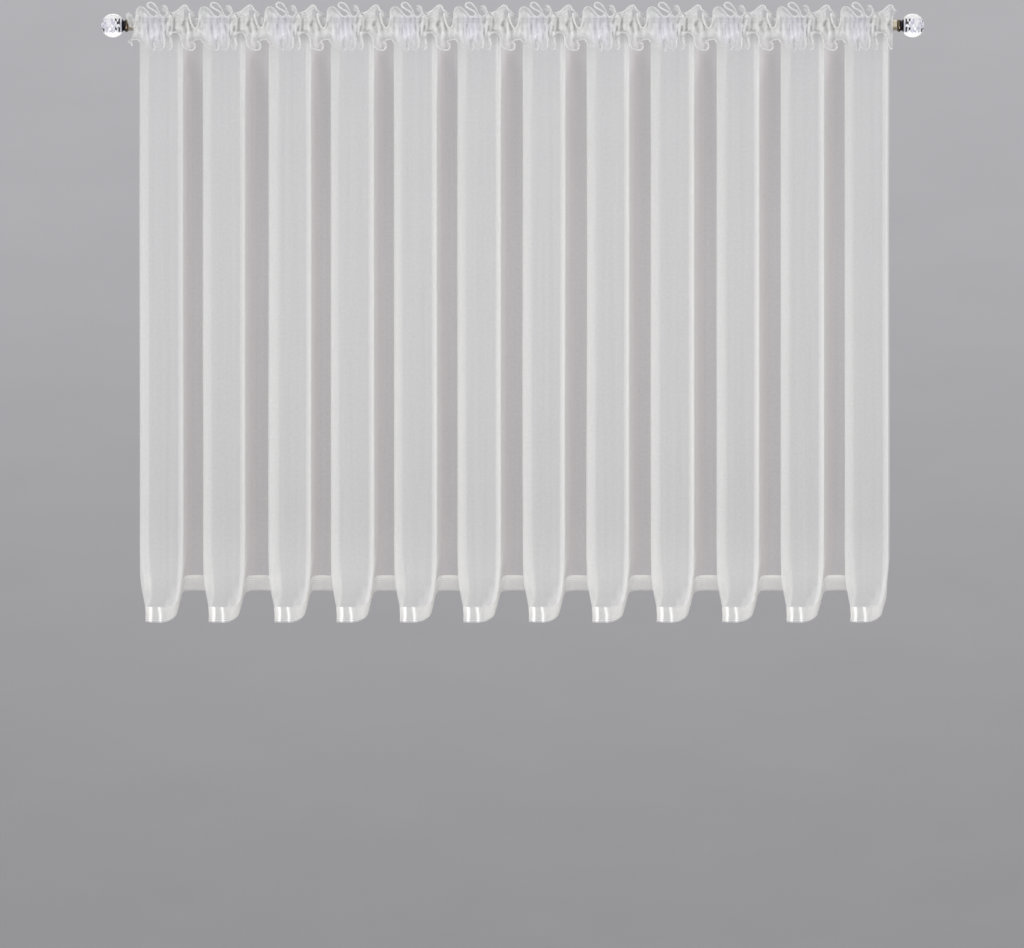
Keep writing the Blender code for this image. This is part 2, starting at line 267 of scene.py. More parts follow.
# One repeat of the hanging frill's edge, with the same columns
FOOT_EDGE = (
    (0.01, 0.5, -36, -33.0),
    (0.04, 8.0, -43, -40.5),
    (0.08, 18.0, -47, -46.0),
    (0.12, 27.0, -48, -49.0),
    (0.16, 34.5, -46, -47.0),
    (0.18, 36.6, -42, -38.5),
    (0.20, 33.0, -35, -30.0),
    (0.22, 33.5, -36, -29.5),
    (0.25, 39.0, -43, -39.0),
    (0.29, 46.0, -47, -46.0),
    (0.33, 54.0, -47, -46.5),
    (0.37, 59.6, -43, -38.0),
    (0.39, 60.0, -37, -27.0),
    (0.41, 62.0, -30, -18.5),
    (0.43, 64.5, -36, -28.0),
    (0.46, 67.5, -43, -42.0),
    (0.49, 73.5, -46, -46.0),
    (0.515, 79.5, -43, -40.0),
    (0.53, 78.0, -38, -29.0),
    (0.545, 74.8, -33, -17.5),
    (0.565, 78.5, -30, -9.5),
    (0.60, 86.0, -28, -7.5),
    (0.63, 95.0, -30, -9.5),
    (0.66, 101.0, -34, -17.0),
    (0.69, 103.8, -40, -31.5),
    (0.73, 109.0, -45, -41.5),
    (0.77, 116.0, -47, -44.0),
    (0.81, 126.5, -48, -46.5),
    (0.845, 134.5, -46, -44.0),
    (0.865, 136.8, -43, -37.5),
    (0.88, 134.8, -40, -31.5),
    (0.895, 128.0, -38, -29.0),
    (0.915, 132.5, -35, -26.0),
    (0.94, 142.0, -32, -24.3),
    (0.97, 150.7, -31, -25.0),
)

# Pleats of the pocket in one repeat. Columns: along, swell off the rod, and painted light
# (below 1 for painted shade in the hollows)
PLEATS = (
    (-9.3, 3.0, 1.00),
    (-2.5, 1.6, 0.92),
    (3.7, 2.6, 0.99),
    (10.2, 1.2, 0.93),
    (13.5, 2.0, 1.00),
    (20.0, 0.8, 0.90),
    (24.0, 2.0, 0.99),
    (34.3, 2.4, 1.00),
    (43.0, 2.2, 0.99),
    (49.8, 1.6, 0.97),
    (52.6, 0.8, 0.88),
    (55.2, 1.8, 0.96),
    (60.8, 1.8, 0.97),
    (63.6, 0.4, 0.86),
    (66.4, 3.0, 0.99),
    (71.0, 3.4, 1.00),
    (74.7, 1.8, 0.90),
    (78.5, 3.2, 0.99),
    (85.0, 0.6, 0.84),
    (93.6, 4.2, 1.00),
    (101.0, 3.8, 0.97),
    (109.0, 0.6, 0.86),
    (119.5, 4.2, 1.00),
    (128.9, 1.0, 0.88),
    (137.2, 3.8, 0.98),
    (142.0, 2.2, 0.90),
)

# How much of the standing frill's cloth shows inside its edge, along one repeat.
# Columns: share, cover, and how far up from the stitch line the cloth stays dense
TOP_COVER = (
    (0.00, 0.62, 0.9),
    (0.04, 0.55, 0.9),
    (0.08, 0.30, 0.6),
    (0.12, 0.10, 0.4),
    (0.18, 0.06, 0.3),
    (0.23, 0.03, 0.3),
    (0.34, 0.03, 0.3),
    (0.41, 0.20, 0.5),
    (0.44, 0.50, 0.5),
    (0.52, 0.60, 0.5),
    (0.56, 0.30, 0.5),
    (0.60, 0.40, 0.5),
    (0.66, 0.38, 0.5),
    (0.69, 0.42, 0.5),
    (0.71, 0.32, 0.4),
    (0.73, 0.06, 0.1),
    (0.75, 0.08, 0.1),
    (0.77, 0.55, 0.7),
    (0.79, 0.80, 1.0),
    (0.86, 0.80, 1.0),
    (0.89, 0.50, 0.8),
    (0.95, 0.50, 0.8),
    (1.00, 0.62, 0.9),
)
# How plainly the rolled edges show. Columns: share, top edge, foot edge
EDGE_SHOW = (
    (0.00, 1.0, 0.5),
    (0.03, 1.0, 0.0),
    (0.13, 1.0, 0.0),
    (0.16, 1.0, 0.7),
    (0.19, 1.0, 0.6),
    (0.24, 1.0, 0.1),
    (0.34, 1.0, 0.2),
    (0.37, 1.0, 1.0),
    (0.40, 1.0, 0.8),
    (0.42, 1.0, 0.1),
    (0.48, 1.0, 0.1),
    (0.50, 0.6, 1.0),
    (0.53, 0.1, 1.1),
    (0.55, 0.1, 1.0),
    (0.57, 1.1, 0.9),
    (0.61, 1.3, 0.6),
    (0.66, 1.3, 0.7),
    (0.76, 1.0, 0.9),
    (0.79, 0.5, 1.0),
    (0.85, 0.4, 1.1),
    (0.87, 1.2, 0.8),
    (0.92, 1.3, 0.8),
    (1.00, 1.1, 0.8),
)
# Creases of one repeat. Columns: along and seen height where each starts
# and ends, bow to the right, half width, all in mm, and rise (below 0 for a trough).
# The seen height is measured square to the view, from the rod's axis
# A crease's rise also paints the heading: painted shade in troughs, painted highlight on ridges
CREASES = (
    (4, 16.5, 54, 15.5, 0, 1.8, -0.13),
    (20, 1, 19, -21, 0, 3.2, -0.26),
    (-2, 1, -2, -13, 0, 3.2, -0.22),
    (-7, -20, -2, -26, 0, 3.0, -0.24),
    (40, 19, 41, 12, 0, 2.6, -0.16),
    (52, 0, 53, -12, 0, 2.8, -0.34),
    (66, 18, 63, 7, 0, 3.2, -0.40),
    (62, -17, 63, -29, 0, 3.2, -0.44),
    (63, -6, 62, -18, 0, 2.4, -0.18),
    (74, -2, 73.5, -12, 0, 4.0, -0.50),
    (76, 27, 84, 27, 0, 5.0, 0.18),
    (-18, 23, -20, 2, 0, 8.0, 0.20),
    (58, 48, 58, 26, 0, 12.0, 0.10),
    (85, 16, 84, -12, 0, 4.2, -0.46),
    (111, 12, 105, 0, 0, 5.0, -0.48),
    (109, 1, 114, -18, 0, 5.6, -0.32),
    (125, 2, 127, -11, 0, 3.2, -0.36),
    (129, -9, 130, -38, 0, 5.2, -0.28),
    (30, -36, 31.5, -54, 0, 3.8, -0.38),
    (48, -22, 48, -33, 0, 4.0, -0.24),
    (63, -49, 64, -65, 0, 4.2, -0.34),
    (65, -31, 65, -50, 0, 3.0, -0.18),
    (81, -21, 82, -36, 0, 4.4, -0.20),
    (130, -47, 129, -57, 0, 4.4, -0.26),
    (109, -36, 110, -48, 0, 3.6, -0.12),
    (-7.5, 28, -4, -1, 0, 4.4, 0.16),
    (6, 4, 6, -23, 0, 3.6, 0.09),
    (27, -28, 37, -21, 0, 3.6, 0.13),
    (38, -31, 38, -59, 0, 3.4, 0.14),
    (59, -26, 61, -49, 0, 3.0, 0.22),
    (72, 12, 69, -15, -4.5, 3.2, 0.17),
    (74, -18, 79, -53, 0, 3.8, 0.22),
    (76, -17, 96, -16, 0, 3.2, 0.12),
    (98, -18, 104, -50, 0, 3.8, 0.14),
    (102, 17, 102, -13, 0, 4.0, 0.09),
    (118, 11, 119, -21, 0, 3.4, 0.10),
    (105, -20, 121, -18, 0, 2.8, 0.10),
    (126, 33, 136, 24, 0, 6.0, 0.10),
    (134, 20, 137, -2, 0, 8.0, -0.20),
    (20, 26, 24, 18, 0, 3.0, -0.16),
    (50, 24, 49, 16, 0, 3.0, -0.14),
    (13, -8, 12, -24, 0, 2.4, -0.18),
    (30, 8, 29, -10, 0, 2.2, -0.14),
    (124, -30, 127, -56, 0, 3.4, -0.16),
    (112, 38, 111, 16, 0, 4.0, -0.26),
    (104, 40, 96, 30, 0, 6.0, 0.08),
    (86, 22, 104, 22, 0, 6.0, -0.24),
)
# How far a crease fades past its ends and how far out a rise of 1 stands, mm,
# and how much of a trough's rise its painted shade takes
CREASE_END = 4.0
CREASE_DEPTH = 4.0
TROUGH_SHADE = 0.62
# Painted light and shade on each part of the heading, and the painted light added at the stitch
# line
PART_SHADE = {"foot": 1.0, "pocket": 0.965, "neck": 1.07, "top": 1.04}
STITCH_PAINTED_LIGHT = 0.03

# Shares of the repeats at the two ends, and the pocket's ends, mm
LEFT_REPEAT_STARTS = 0.78
RIGHT_REPEAT_ENDS = 0.77
POCKET_LEFT_END = -931
POCKET_RIGHT_END = 936
# The hanging frill starts later than the standing one at the left end,
# and the standing frill's own edge lies flat until it comes forward
FOOT_STARTS = 0.86
TOP_EDGE_STARTS = 0.95
# The standing frill's first cloth leans out past the pocket: how far, over what share
LEANS_OUT = (13.5, 0.12)
# The pocket's gathers sit a little left of the folds, and crowd up near its ends, mm
POCKET_LAG = 1
POCKET_CROWDING = 12.0

# Crystal balls, mm. seat: share of the half turn cut flat against the collar
CRYSTAL_RADIUS = 29.3
CRYSTAL_CENTRE = 979.4
CRYSTAL_SEAT = 0.248
CRYSTAL_SPOKES = 24
CRYSTAL_LEVELS = 15
CRYSTAL_POLE_RADIUS = 0.4
CRYSTAL_SEED = 7
# Facets painted dark, a painted reflection of the dark collar. Columns: from and to, outward
# from the ball's centre, highest share of the ball's half height, and the chance of a facet
# being dark
COLLAR_REFLECTIONS = (-18.5, 0.0, 0.56, 0.66)
FAR_REFLECTIONS = (20.0, 27.0, 0.50, 0.26)
COLLAR_REFLECTIONS_FADE = 15
# Share of the ball's half height where the painted highlight bands at its top and foot start
HIGHLIGHT_BAND_STARTS = 0.50
# How strongly the foot's facets give off painted light by emission, standing for the light that
# enters at the top and is thrown back
FOOT_PAINTED_GLOW = 0.34
# The collar is bronze on the rod's side of this, mm from the middle
COLLAR_NECK_REACH = 948

# The wave texture's scale for the weave, on the cloth's own metres
CLOTH_THREADS = 900.0
EDGE_THREADS = 1500.0
# Colours
VOILE_WHITE = (0.862, 0.862, 0.852, 1)
# Rosy painted shade of the valleys
VALLEY_SHADE_TINT = (1.0, 0.915, 0.91, 1)
HEM_WHITE = (0.93, 0.925, 0.905, 1)
# Painted light along the hem's top at the back
HEM_TOP_PAINTED_LIGHT = (0.99, 0.97, 0.94, 1)
# Painted satin highlight on the hem
SATIN_PAINTED_HIGHLIGHT = (0.97, 0.97, 0.96, 1)
# Lavender painted shade where the gathers lie tight
GATHER_PAINTED_SHADE = (0.77, 0.76, 0.825, 1)
HEADING_WHITE = (0.81, 0.81, 0.805, 1)
EDGE_DULL = (0.86, 0.86, 0.86, 1)
EDGE_BRIGHT = (0.98, 0.98, 0.97, 1)
ROD_BRASS = (0.80, 0.72, 0.55, 1)
COLLAR_BLACK = (0.055, 0.05, 0.055, 1)
COLLAR_BRONZE = (0.17, 0.13, 0.085, 1)
CRYSTAL_LAVENDER = (0.74, 0.73, 0.84, 1)
# Painted reflection of the dark collar in the crystal's facets
CRYSTAL_COLLAR_REFLECTION = (0.03, 0.03, 0.035, 1)
FLOOR_GREYS = ((0.338, 0.335, 0.350, 1), (0.366, 0.363, 0.378, 1))
BLACK = (0.0, 0.0, 0.0, 1)
WHITE = (1.0, 1.0, 1.0, 1)

# Studio, m. The floor is painted a little darker toward the viewer, a painted shade, from this
# far back
FLOOR_HEIGHT = -3.2
FLOOR_SIZE = 40
FLOOR_DARKENS_FROM = 4.0
FLOOR_PAINTED_SHADE = 0.022
# Columns: name, place, aim, size, power in watts, spread in degrees
LIGHTS = (
    ("key_left", (-3.2, -3.6, -1.0), (0, 0, -0.9), (1.6, 1.6), 15, 68),
    ("fill_right", (3.0, -3.6, -1.0), (0, 0, -0.9), (1.6, 1.6), 12.5, 68),
    ("hem_strip", (0, -1.88, -0.80), (0, 0, -1.49), (2.2, 0.08), 0.38, 12),
    ("far_floor", (0, 9.5, 2.8), (0, 9.5, -3.2), (9, 4), 240, 180),
)
STUDIO_AIR = (0.99, 0.99, 1.0, 1)
STUDIO_AIR_STRENGTH = 0.80


def smooth(t):
    t = np.clip(t, 0.0, 1.0)
    return t * t * (3 - 2 * t)


def bump_at(values, centre, half_width):
    """1 at the centre, falling smoothly to 0 at half_width on each side."""
    return smooth(1 - np.abs(values - centre) / half_width)


def unit(rows):
    """Each row at length 1."""
    return rows / (np.linalg.norm(rows, axis=1)[:, None] + 1e-9)


def run_length(line):
    """Length along a line of points, at each of them."""
    return np.concatenate([[0], np.cumsum(np.linalg.norm(np.diff(line, axis=0), axis=1))])


def seen_height(points):
    """Height of each point square to the view, from the rod's axis."""
    return points[:, 1] * math.sin(VIEW_DOWN) + points[:, 2] * math.cos(VIEW_DOWN)


def columns_at(table, places):
    """The table's columns after the first, read off at each place."""
    rows = np.array(table)
    return [np.interp(places, rows[:, 0], rows[:, k]) for k in range(1, rows.shape[1])]


def spline(points, steps):
    """Smooth curve through rows of numbers, with steps parts between each pair."""
    rows = np.array(points, float)
    padded = np.vstack([2 * rows[0] - rows[1], rows, 2 * rows[-1] - rows[-2]])
    pieces = []
    for index in range(len(rows) - 1):
        p0, p1, p2, p3 = padded[index : index + 4]
        for step in range(steps):
            t = step / steps
            point = 2 * p1 + (p2 - p0) * t + (2 * p0 - 5 * p1 + 4 * p2 - p3) * t * t
            pieces.append(0.5 * (point + (3 * p1 - p0 - 3 * p2 + p3) * t**3))
    pieces.append(rows[-1])
    return np.array(pieces)


def fold_table():
    """Left edge and face width of each fold, with the next fold's left edge."""
    rows = []
    for index, (left, width) in enumerate(FOLDS):
        last = index + 1 == len(FOLDS)
        rows.append((left, width, left + USUAL_PITCH if last else FOLDS[index + 1][0]))
    return rows


def link_mesh(name, mesh):
    thing = bpy.data.objects.new(name, mesh)
    bpy.context.scene.collection.objects.link(thing)
    return thing


def grid_mesh(name, points, uv, attributes):
    """A sheet from rows of points in mm, with UVs in metres and values at each point."""
    rows, columns = points.shape[:2]
    corner = np.arange(rows * columns).reshape(rows, columns)
    faces = np.stack(
        [corner[:-1, :-1], corner[1:, :-1], corner[1:, 1:], corner[:-1, 1:]], axis=-1
    ).reshape(-1, 4)
    mesh = bpy.data.meshes.new(name)
    mesh.from_pydata((points.reshape(-1, 3) * MM).tolist(), [], faces.tolist())
    mesh.update()
    layer = mesh.uv_layers.new(name="cloth")
    flat = uv.reshape(-1, 2)[faces.reshape(-1)]
    layer.data.foreach_set("uv", flat.reshape(-1).astype(np.float32))
    for key, values in attributes.items():
        attribute = mesh.attributes.new(key, "FLOAT", "POINT")
        attribute.data.foreach_set("value", values.reshape(-1).astype(np.float32))
    mesh.polygons.foreach_set("use_smooth", np.ones(len(faces), bool))
    return link_mesh(name, mesh)


def plan_point(row, fold, index):
    """Along, depth, both again at the foot, repeat number and place in the look's tables."""
    face, gap, depth, foot_shift, foot_depth = row
    left, width, following = fold
    across = face * width + gap * (following - left - width)
    along = left + across
    repeat = index + across / USUAL_PITCH
    place = face + gap + FOLD_PLACES * index
    return along, depth, along + foot_shift, foot_depth, repeat, place


def panel_plan():
    """Fine plan of the cloth, with a plan_point in each row."""
    table = fold_table()
    left = table[0][0]
    before = (left - USUAL_PITCH, USUAL_FACE, left)
    line = [plan_point(row, before, -1) for row in PLAN[-RETURN_POINTS:]]
    along, depth, foot_along, *others = line[0]
    line[0] = (along, depth, foot_along + START_FOOT_SHIFT, *others)
    for index, fold in enumerate(table):
        for row in PLAN:
            if index + 1 == len(table) and row[1] > LAST_FOLD_GAP:
                break
            line.append(plan_point(row, fold, index))
    return spline(line, PLAN_STEPS)


def panel_look(place, hem_share, above_foot, height):
    """Named values for the panel's material, at each point of its grid."""
    # Painted light: a painted highlight on each front's right band and painted shade in the
    # valleys
    density, painted_light, painted_valley_shade = columns_at(LOOK, place)
    # 0 at the foot and 1 at the hem's top
    up_hem = np.clip(above_foot / HEM_DEEP, 0, 1)
    # Painted satin highlights: two light streaks down the hem's front, painted into colour and
    # cover
    satin = sum(
        weight * bump_at(place[None, :] + lean * up_hem, centre, half)
        for centre, lean, half, weight in HEM_SATIN_HIGHLIGHTS
    )
    near_top = np.clip(2 * up_hem - 1, 0, 1) ** 2
    back = bump_at(place, VALLEY_PLACE, HEM_BACK_HALF_WIDTH)[None, :]
    hem_cover = columns_at(HEM_LOOK, place)[0] + HEM_BACK_COVER * back * near_top
    on_front = place < 1.0
    starts, inward, more = LEFT_SWELL
    swell = np.clip((starts - above_foot) / (starts - HEM_DEEP), 0, 1)
    ends, soft = LEFT_LIGHT_ENDS
    limit = ends + inward * np.sin(math.pi * swell)
    left_light = more * smooth((limit - place) / soft) * np.sin(math.pi * swell)
    starts, inward, more = RIGHT_SWELL
    swell = np.clip((starts - above_foot) / (starts - HEM_DEEP), 0, 1)
    edge, soft = RIGHT_LIGHT_STARTS
    past = place - edge + inward * swell**1.5
    right_light = more * smooth(past / soft) * smooth(swell * 2)
    edge, soft = RIGHT_LIGHT_ENDS
    right_light = right_light * smooth((edge - place) / soft)
    fewer, below, comes_in = THINNER_OVER_HEM
    thinner = fewer * smooth((below - above_foot) / comes_in)
    cloth_cover = density[None, :] - thinner + left_light * on_front + right_light
    under_heading = smooth(1 + (height - PANEL_TOP) / VALLEY_TOP_DROP)
    valley = bump_at(place, VALLEY_PLACE, VALLEY_TOP_HALF_WIDTH)[None, :]
    shaded = 1 - VALLEY_TOP_SHADE * under_heading * valley
    in_front = smooth((STITCH_FRONT[0] - above_foot) / STITCH_FRONT[1])
    behind = smooth((above_foot - HEM_DEEP + STITCH_BACK[0]) / STITCH_BACK[1])
    return {
        "cover": cloth_cover * (1 - hem_share) + hem_cover * hem_share,
        "painted_light": painted_light[None, :] * shaded,
        # A rosy painted shade in the valleys
        "painted_valley_shade": np.tile(painted_valley_shade, (len(height), 1)),
        "hem": hem_share,
        "satin": satin * hem_share,
        "stitching": np.where(on_front[None, :], in_front, behind) * hem_share,
        "above_foot": above_foot * MM,
        "painted_hem_top_light": back * near_top * hem_share,
    }


def build_panel():
    """One width of voile with its hem turned up inside, from the heading to the foot."""
    plan = panel_plan()
    along, depth, foot_along, foot_depth, repeat, place = plan.T
    columns = len(plan)
    # Rows down to the hem top, down to the foot, and up again inside the hem
    drops = [("cloth", t) for t in np.linspace(0, 1, PANEL_LEVELS) ** PANEL_ROW_CROWDING]
    drops += [("hem", t) for t in np.linspace(0.02, 1, HEM_LEVELS)]
    drops += [("turned", t) for t in np.linspace(1, 0.03, HEM_LEVELS)]
    grid, hem_share, above_foot = [], [], []
    for kind, t in drops:
        if kind == "cloth":
            drawn = columns_at(DRAWING_IN, t)[0]
        else:
            drawn = HEM_TOP_DRAWN_IN + (1 - HEM_TOP_DRAWN_IN) * t
        across = along + (foot_along - along) * drawn
        back = depth + (foot_depth - depth) * drawn
        backness = (np.clip(back, -1, 1) + 1) / 2
        foot = FRONT_HEM_FOOT + (BACK_HEM_FOOT - FRONT_HEM_FOOT) * backness
        if kind == "cloth":
            height = PANEL_TOP + (foot + HEM_DEEP - PANEL_TOP) * t
        else:
            height = foot + HEM_DEEP * (1 - t)
        deeper = smooth((PANEL_TOP - height) / DEPTH_GROWS_OVER)
        out = back * (TOP_HALF_DEPTH + (FOLD_HALF_DEPTH - TOP_HALF_DEPTH) * deeper)
        fall = smooth((PANEL_TOP - height) / WANDER_GROWS_OVER)
        sway = np.array([noise.noise((r * 0.9, height[0] * 0.0013, 3.1)) for r in repeat])
        puff = np.array([noise.noise((r * 1.7, height[0] * 0.0021, 8.4)) for r in repeat])
        across = across + FOLD_WANDER * sway * fall
        shift, below, comes_in, goes = FRONT_SETS_RIGHT
        low = smooth((below - (height - foot)) / comes_in) * smooth((height - foot) / goes)
        across = across + shift * low * (1 - backness)
        out = out + FOLD_PUFF * puff * fall
        if kind == "turned":
            run = unit(np.gradient(np.stack([across, out], axis=1), axis=0))
            parted = HEM_LAYER_GAP * min(1, 4 * (1 - t) + 0.3)
            across = across - run[:, 1] * parted
            out = out + run[:, 0] * parted
        grid.append(np.stack([across, out, height], axis=1))
        hem_share.append(np.full(columns, float(kind != "cloth")))
        above_foot.append(height - foot)
    grid = np.array(grid)
    run_along = run_length(grid[PANEL_LEVELS // 2][:, :2])
    run_down = run_length(grid[:, columns // 2])
    uv = np.stack(np.meshgrid(run_along, -run_down), axis=-1) * MM

    hem_share = np.array(hem_share)
    attributes = panel_look(place % FOLD_PLACES, hem_share, np.array(above_foot), grid[:, :, 2])
    panel = grid_mesh("curtain_panel", grid, uv, attributes)
    flat = (float(run_along[-1]) * MM, float(run_down[-1]) * MM)
    return panel, flat


def repeats():
    """Number, left edge and next left edge of each fold, and of one before the first."""
    folds = fold_table()
    first = folds[0][0]
    return [(-1, first - USUAL_PITCH, first)] + [
        (number, fold[0], fold[2]) for number, fold in enumerate(folds)
    ]


def repeated(table, along_column):
    """The table's rows for every fold, in order, with along measured from the rod's middle."""
    rows = []
    for index, left, following in repeats():
        stretch = (following - left) / USUAL_PITCH
        for row in table:
            cells = list(row)
            cells[0] = cells[0] + index if along_column else left + cells[0] * stretch
            if along_column:
                cells[along_column] = left + cells[along_column] * stretch
            rows.append(cells)
    return rows


def edge_curve(table, shares):
    """A frill's edge at each share of the gathered cloth: along, out, height."""
    fine = spline(repeated(table, 1), 10)
    fine[:, 0] = np.maximum.accumulate(fine[:, 0])
    return np.stack(columns_at(fine, shares), axis=1)


def curve_between(start, control, end, count):
    """Points of a smooth bend from start to end, drawn toward control."""
    t = np.linspace(0, 1, count)[:, None, None]
    return (1 - t) ** 2 * start + 2 * (1 - t) * t * control + t * t * end


def on_pocket(along, angle, radius):
    turn = math.radians(angle)
    return np.stack([along, -radius * math.sin(turn), radius * math.cos(turn)], axis=1)


def heading_lines():
    """The edges of both frills and the place of each column on the rod."""
    starts, ends = LEFT_REPEAT_STARTS - 1, len(FOLDS) - 1 + RIGHT_REPEAT_ENDS
    count = int((ends - starts) * GATHER_COLUMNS_PER_FOLD)
    shares = np.linspace(starts, ends, count)
    top = edge_curve(TOP_EDGE, shares)
    # Before its start the hanging frill's edge is bunched up
    early = shares - (FOOT_STARTS - 1)
    foot = edge_curve(FOOT_EDGE, np.where(early < 0, FOOT_STARTS - 1 + 0.1 * early, shares))
    edges = np.array([left for _, left, _ in repeats()] + [repeats()[-1][2]])
    pocket_along = np.interp(shares, np.arange(-1, len(FOLDS) + 1), edges - POCKET_LAG)
    for end, inward in ((POCKET_LEFT_END, 1), (POCKET_RIGHT_END, -1)):
        # The cloth crowds up toward each end of the pocket and never passes it
        past = np.clip(1 - inward * (pocket_along - end) / POCKET_CROWDING, 0, None)
        crowded = end + inward * POCKET_CROWDING * np.exp(-past)
        pocket_along = np.where(past > 0, crowded, pocket_along)
    return shares, top, foot, pocket_along


def creases_at(points):
    """Rise of the listed creases at each point of one line across the heading."""
    seen = seen_height(points)
    rise = np.zeros(len(points))
    for _, left, following in repeats():
        stretch = (following - left) / USUAL_PITCH
        near = (points[:, 0] > left - 30) & (points[:, 0] < following + 10)
        along = (points[near, 0] - left) / stretch
        height = seen[near]
        for x0, h0, x1, h1, bow, half_width, strength in CREASES:
            long = math.hypot(x1 - x0, h1 - h0)
            run = ((along - x0) * (x1 - x0) + (height - h0) * (h1 - h0)) / long
            off = ((along - x0) * (h0 - h1) + (height - h0) * (x1 - x0)) / long
            share = np.clip(run / long, 0, 1)
            beyond = np.maximum(-run, run - long) / CREASE_END
            distance = np.abs(off - bow * 4 * share * (1 - share)) / half_width
            rise[near] += strength * smooth(1.25 * (1 - distance)) * smooth(1 - beyond)
    return rise


def build_heading():
    """The gathered band: foot frill, pocket round the rod, top frill, and down behind."""
    shares, top, foot, pocket_along = heading_lines()
    count = len(shares)
    within = shares % 1.0
    tight = bump_at(within, *TIGHT_GATHERS)
    loose = bump_at(within, *LOOSE_GATHERS)
    pleats = spline(repeated(PLEATS, 0), 6)
    pleats[:, 0] = np.maximum.accumulate(pleats[:, 0])

    def pleats_at(down):
        """Swell and painted light of the pleats. down: 0 at the stitch line, 1 at the foot."""
        wander = PLEAT_WANDER * np.sin(4.2 * down + shares * 19.0)
        return columns_at(pleats, pocket_along + wander)

    def creases(down):
        """Height of the fine creases, mm."""
        lean = 0.9 * math.sin(down * 3.1 + 0.4)
        broad = np.sin(shares * 2 * math.pi * 11 + 2.1 * np.sin(shares * 7.3) + lean)
        fine = np.sin(shares * 2 * math.pi * 25 + 2.7 * np.sin(shares * 11.9) - 1.7 * lean)
        fade = 0.65 + 0.35 * np.sin(shares * 2 * math.pi * 6 + 3.0 * down)
        rise = 0.8 * np.abs(broad) ** 0.7 * np.sign(broad) + 0.45 * fine * fade
        return rise * (0.6 + 0.4 * tight)

    def pocket(angle):
        down = min(1.0, max(0.0, (angle - NECK_ANGLE) / (FOOT_FRILL_ANGLE - NECK_ANGLE)))
        swell = pleats_at(down)[0] + creases(down) + 0.6
        if angle > 180:
            swell = 0.3 * swell
        radius = POCKET_RADIUS + POCKET_CLEAR + np.maximum(swell, 0)
        return on_pocket(pocket_along, angle, radius)

    run = unit(np.gradient(top[:, :2], axis=0))
    side = np.stack([-run[:, 1], run[:, 0], np.zeros(count)], axis=1)

    rows, layer = [], []

    def add(points, kind, places):
        rows.extend(points)
        layer.extend((kind, place) for place in places)

    foot_base = pocket(FOOT_FRILL_ANGLE)
    foot_control = foot_base + (foot - foot_base) * np.array([0.35, 0.25, 0.55])
    steps = np.linspace(0, 1, FOOT_ROWS)
    add(curve_between(foot, foot_control, foot_base, FOOT_ROWS), "foot", steps)
    angles = np.linspace(FOOT_FRILL_ANGLE - 10, NECK_ANGLE, POCKET_ROWS)
    add([pocket(angle) for angle in angles], "pocket", angles)
    lean, over = LEANS_OUT
    leaning = lean * smooth((LEFT_REPEAT_STARTS - 1 + over - shares) / over)
    stitch_out = -0.5 - LOOSE_BULGE * loose
    stitch_height = STITCH_HEIGHT + 0.8 * creases(0.0)
    stitch = np.stack([pocket_along - leaning, stitch_out, stitch_height], axis=1)
    stitch_back = stitch + np.array([0, 1.0, 0])
    neck = pocket(NECK_ANGLE)
    for share in NECK_ROWS:
        add([neck + (stitch - neck) * share], "neck", [share])
    control = stitch + (top - stitch) * np.array([0.25, 0.35, 0.65])
    steps = np.linspace(0, 1, TOP_ROWS)
    # Up the front of the standing frill, and down its back
    for start, facing in ((stitch, -1), (stitch_back, 1)):
        curve = curve_between(start, control, top, TOP_ROWS)
        for share, row in list(zip(steps, curve))[::-facing]:
            parted = FRILL_LAYER_GAP / 2 * min(1.0, 3 * share, 0.4 + 3 * (1 - share))
            add([row + facing * side * parted], "top", [share])
    angles = np.linspace(360 - NECK_ANGLE, FOOT_FRILL_ANGLE + 6, BACK_ROWS)
    add([pocket(angle) for angle in angles], "back", angles)
    grid = np.array(rows)

    cover, ripple, painted_shade = np.zeros((3, len(rows), count))
    shade = np.ones((len(rows), count))
    top_cover, dense_reach = columns_at(TOP_COVER, within)
    foot_show = columns_at(EDGE_SHOW, within)[1]
    for index, (kind, t) in enumerate(layer):
        cover[index] = POCKET_COVER
        # Strength of the pleats, strength of the lavender painted shade, and how far down the
        # pleats
        strength, tinted, down = 1.0, 1.0, 0.0
        if kind == "foot":
            edge_cover = FOOT_COVER[0] + FOOT_COVER[1] * foot_show
            cover[index] = edge_cover + (FOOT_COVER[2] - edge_cover) * smooth(t * 1.3)
            strength, tinted, down = smooth(t * 1.3), 0.4 + 0.6 * t, 1.0
        elif kind == "pocket":
            down = (t - NECK_ANGLE) / (FOOT_FRILL_ANGLE - NECK_ANGLE)
        elif kind == "top":
            dense = smooth(2.0 * (1 - t / dense_reach))
            cover[index] = top_cover + (STITCH_COVER - top_cover) * dense
            strength, tinted = smooth(1 - t * 1.6), smooth(1 - 3 * t)
        elif kind == "back":
            cover[index] = BACK_COVER
            continue
